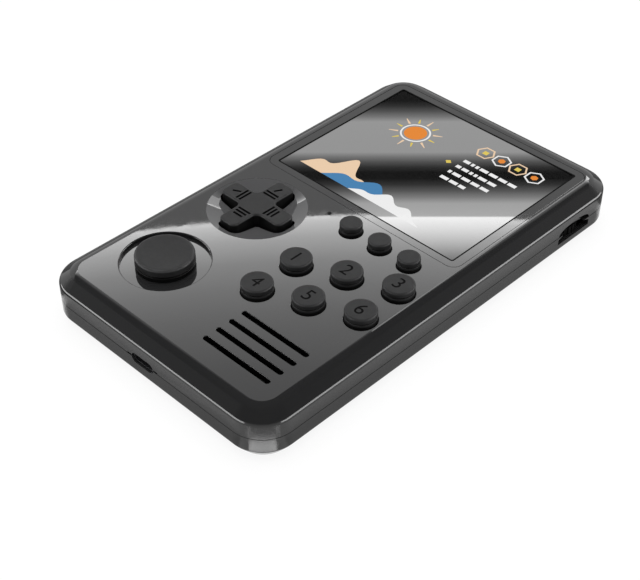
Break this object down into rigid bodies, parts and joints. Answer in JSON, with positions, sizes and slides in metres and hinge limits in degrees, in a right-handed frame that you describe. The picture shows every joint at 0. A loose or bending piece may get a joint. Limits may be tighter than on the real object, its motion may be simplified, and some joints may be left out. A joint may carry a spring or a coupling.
{
  "type": "handheld game console",
  "caption": "Flat handheld game console with a screen above a direction pad, a sliding thumbstick, round push buttons and a slotted speaker grille.",
  "frame": {"origin": "middle of the outline, on the flat back face", "axes": "X across the case to the player's right, Y along the case towards the screen, Z out of the screen"},
  "size_m": [0.079, 0.1336, 0.0177],
  "materials": {
    "case_plastic": "glossy dark grey moulding",
    "button_plastic": "fine matte dark grey",
    "black_plastic": "black moulding",
    "pale_plastic": "natural moulding",
    "lens": "clear hard-coated window",
    "light_pipe": "clear moulding",
    "display": "display glass",
    "screw_steel": "zinc plated",
    "sheet_steel": "tinned sheet",
    "rubber": "grey silicone",
    "foam": "black foam",
    "board": "green laminate",
    "flex": "amber film",
    "cable": "white flat cable",
    "wire": "insulated wire",
    "cell": "foil pouch",
    "speaker_plastic": "grey basket",
    "cone": "black cone"
  },
  "bodies": {
    "console": {"front_shell": "case_plastic", "back_shell": "case_plastic", "joystick_base": "black_plastic", "sound_jack": "black_plastic", "volume_pot": "black_plastic", "main_chip": "black_plastic", "board_connector": "pale_plastic", "battery_plug": "pale_plastic", "led_chip": "pale_plastic", "screen_lens": "lens", "led_light_pipe": "light_pipe", "lcd_panel": "display", "case_screws": "screw_steel", "bracket_screws": "screw_steel", "key_screws": "screw_steel", "board_screws": "screw_steel", "io_screws": "screw_steel", "lcd_bracket": "sheet_steel", "usb_socket": "sheet_steel", "power_switch": "sheet_steel", "speaker_magnet": "sheet_steel", "action_keypad": "rubber", "function_keypad": "rubber", "lcd_gasket": "foam", "battery_pad": "foam", "key_board": "board", "main_board": "board", "io_board": "board", "lcd_flex": "flex", "io_cable": "cable", "battery_leads": "wire", "battery": "cell", "speaker_frame": "speaker_plastic", "speaker_cone": "cone"},
    "joystick_carriage": {"joystick_frame": "pale_plastic"},
    "joystick": {"joystick_cap": "button_plastic", "joystick_slider": "black_plastic"},
    "dpad_seat": {"dpad_rubber_pad": "rubber"},
    "dpad": {"dpad": "button_plastic"},
    "volume_wheel": {"volume_wheel": "button_plastic"},
    "power_slider": {"power_slider": "button_plastic"},
    "button_1": {"button_1": "button_plastic"},
    "button_2": {"button_2": "button_plastic"},
    "button_3": {"button_3": "button_plastic"},
    "button_4": {"button_4": "button_plastic"},
    "button_5": {"button_5": "button_plastic"},
    "button_6": {"button_6": "button_plastic"},
    "function_button_1": {"function_button_1": "button_plastic"},
    "function_button_2": {"function_button_2": "button_plastic"},
    "function_button_3": {"function_button_3": "button_plastic"}
  },
  "joints": [
    {"name": "button_1_press", "type": "slide", "parent": "console", "child": "button_1", "axis": [0, 0, -1], "range_m": [0, 0.001], "stiffness_N_per_m": 300, "springref_m": -0.0004, "deforming": ["action_keypad"]},
    {"name": "button_2_press", "type": "slide", "parent": "console", "child": "button_2", "axis": [0, 0, -1], "range_m": [0, 0.001], "stiffness_N_per_m": 300, "springref_m": -0.0004, "deforming": ["action_keypad"]},
    {"name": "button_3_press", "type": "slide", "parent": "console", "child": "button_3", "axis": [0, 0, -1], "range_m": [0, 0.001], "stiffness_N_per_m": 300, "springref_m": -0.0004, "deforming": ["action_keypad"]},
    {"name": "button_4_press", "type": "slide", "parent": "console", "child": "button_4", "axis": [0, 0, -1], "range_m": [0, 0.001], "stiffness_N_per_m": 300, "springref_m": -0.0004, "deforming": ["action_keypad"]},
    {"name": "button_5_press", "type": "slide", "parent": "console", "child": "button_5", "axis": [0, 0, -1], "range_m": [0, 0.001], "stiffness_N_per_m": 300, "springref_m": -0.0004, "deforming": ["action_keypad"]},
    {"name": "button_6_press", "type": "slide", "parent": "console", "child": "button_6", "axis": [0, 0, -1], "range_m": [0, 0.001], "stiffness_N_per_m": 300, "springref_m": -0.0004, "deforming": ["action_keypad"]},
    {"name": "function_button_1_press", "type": "slide", "parent": "console", "child": "function_button_1", "axis": [0, 0, -1], "range_m": [0, 0.001], "stiffness_N_per_m": 300, "springref_m": -0.0004, "deforming": ["function_keypad"]},
    {"name": "function_button_2_press", "type": "slide", "parent": "console", "child": "function_button_2", "axis": [0, 0, -1], "range_m": [0, 0.001], "stiffness_N_per_m": 300, "springref_m": -0.0004, "deforming": ["function_keypad"]},
    {"name": "function_button_3_press", "type": "slide", "parent": "console", "child": "function_button_3", "axis": [0, 0, -1], "range_m": [0, 0.001], "stiffness_N_per_m": 300, "springref_m": -0.0004, "deforming": ["function_keypad"]},
    {"name": "dpad_rock_side", "type": "hinge", "parent": "console", "child": "dpad_seat", "pos_m": [-0.0196, -0.0121, 0.0099], "axis": [0, 1, 0], "range_deg": [-3.4, 3.4], "stiffness_Nm_per_rad": 0.03, "deforming": ["dpad_rubber_pad"]},
    {"name": "dpad_rock_up", "type": "hinge", "parent": "dpad_seat", "child": "dpad", "pos_m": [-0.0196, -0.0121, 0.0099], "axis": [1, 0, 0], "range_deg": [-3.4, 3.4], "stiffness_Nm_per_rad": 0.03, "deforming": ["dpad_rubber_pad"]},
    {"name": "joystick_slide_x", "type": "slide", "parent": "console", "child": "joystick_carriage", "axis": [1, 0, 0], "range_m": [-0.0025, 0.0025], "stiffness_N_per_m": 120},
    {"name": "joystick_slide_y", "type": "slide", "parent": "joystick_carriage", "child": "joystick", "axis": [0, 1, 0], "range_m": [-0.0025, 0.0025], "stiffness_N_per_m": 120},
    {"name": "volume_turn", "type": "hinge", "parent": "console", "child": "volume_wheel", "pos_m": [0.0314, 0.0479, 0.0064], "axis": [0, 0, 1], "range_deg": [-130, 130]},
    {"name": "power_slide", "type": "slide", "parent": "console", "child": "power_slider", "axis": [0, 1, 0], "range_m": [0, 0.002]}
  ]
}
